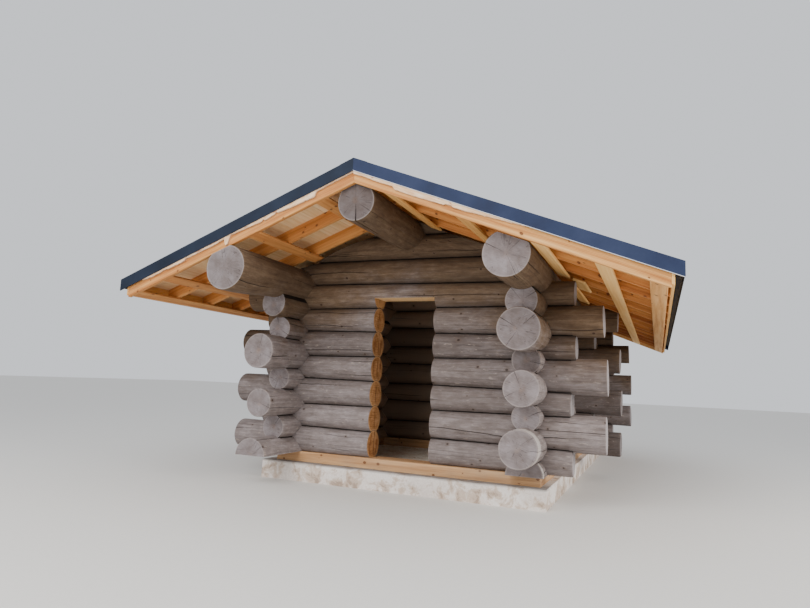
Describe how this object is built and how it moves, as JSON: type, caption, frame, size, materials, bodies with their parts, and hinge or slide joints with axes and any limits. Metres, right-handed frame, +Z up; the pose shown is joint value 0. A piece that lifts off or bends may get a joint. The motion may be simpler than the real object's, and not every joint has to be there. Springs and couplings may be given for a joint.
{
  "type": "log bathhouse",
  "caption": "Small bathhouse of scribed, saddle-notched round logs on a concrete slab, with an open doorway and a low gable roof of boards and metal sheet reaching far over the front.",
  "frame": {"origin": "on the ground, under the middle of the roof", "axes": "+X along the front wall to the right as seen from the front, +Y back from the front wall, +Z up"},
  "size_m": [6, 8.75, 3.4617],
  "materials": {
    "weathered_log": "weathered grey-brown, long grain and drying checks",
    "sill_pine": "new sawn pine",
    "roof_pine": "new planed pine with knots",
    "wane_edge_pine": "rough sawn board with the bark edge",
    "sheathing_board": "pale sheathing boards",
    "slate_blue_metal": "satin coated sheet steel",
    "concrete": "cast concrete, stained and worn"
  },
  "bodies": {
    "root": {"concrete_slab": "concrete", "cross_sills": "sill_pine", "front_gable_logs": "weathered_log", "front_lintel_log": "weathered_log", "front_log_1": "weathered_log", "front_log_2": "weathered_log", "front_log_3": "weathered_log", "front_log_4": "weathered_log", "front_log_5": "weathered_log", "front_log_6": "weathered_log", "left_barge_rafters": "roof_pine", "left_drip_edge": "slate_blue_metal", "left_eave_board": "roof_pine", "left_fascia": "roof_pine", "left_half_log": "weathered_log", "left_log_1": "weathered_log", "left_log_2": "weathered_log", "left_log_3": "weathered_log", "left_log_4": "weathered_log", "left_log_5": "weathered_log", "left_log_6": "weathered_log", "left_plate_log": "weathered_log", "left_rafters": "roof_pine", "left_roof_sheet": "slate_blue_metal", "left_sheathing": "sheathing_board", "left_underside_planks": "roof_pine", "left_verge_trims": "slate_blue_metal", "middle_gable_logs": "weathered_log", "middle_lintel_log": "weathered_log", "middle_logs": "weathered_log", "rear_gable_logs": "weathered_log", "rear_logs": "weathered_log", "ridge_cap": "slate_blue_metal", "ridge_log": "weathered_log", "right_barge_rafters": "roof_pine", "right_drip_edge": "slate_blue_metal", "right_eave_board": "roof_pine", "right_fascia": "roof_pine", "right_half_log": "weathered_log", "right_log_1": "weathered_log", "right_log_2": "weathered_log", "right_log_3": "weathered_log", "right_log_4": "weathered_log", "right_log_5": "weathered_log", "right_log_6": "weathered_log", "right_plate_log": "weathered_log", "right_rafters": "roof_pine", "right_roof_sheet": "slate_blue_metal", "right_sheathing": "sheathing_board", "right_underside_planks": "roof_pine", "right_verge_trims": "slate_blue_metal", "side_sills": "sill_pine", "wane_edge_boards": "wane_edge_pine"}
  },
  "joints": []
}
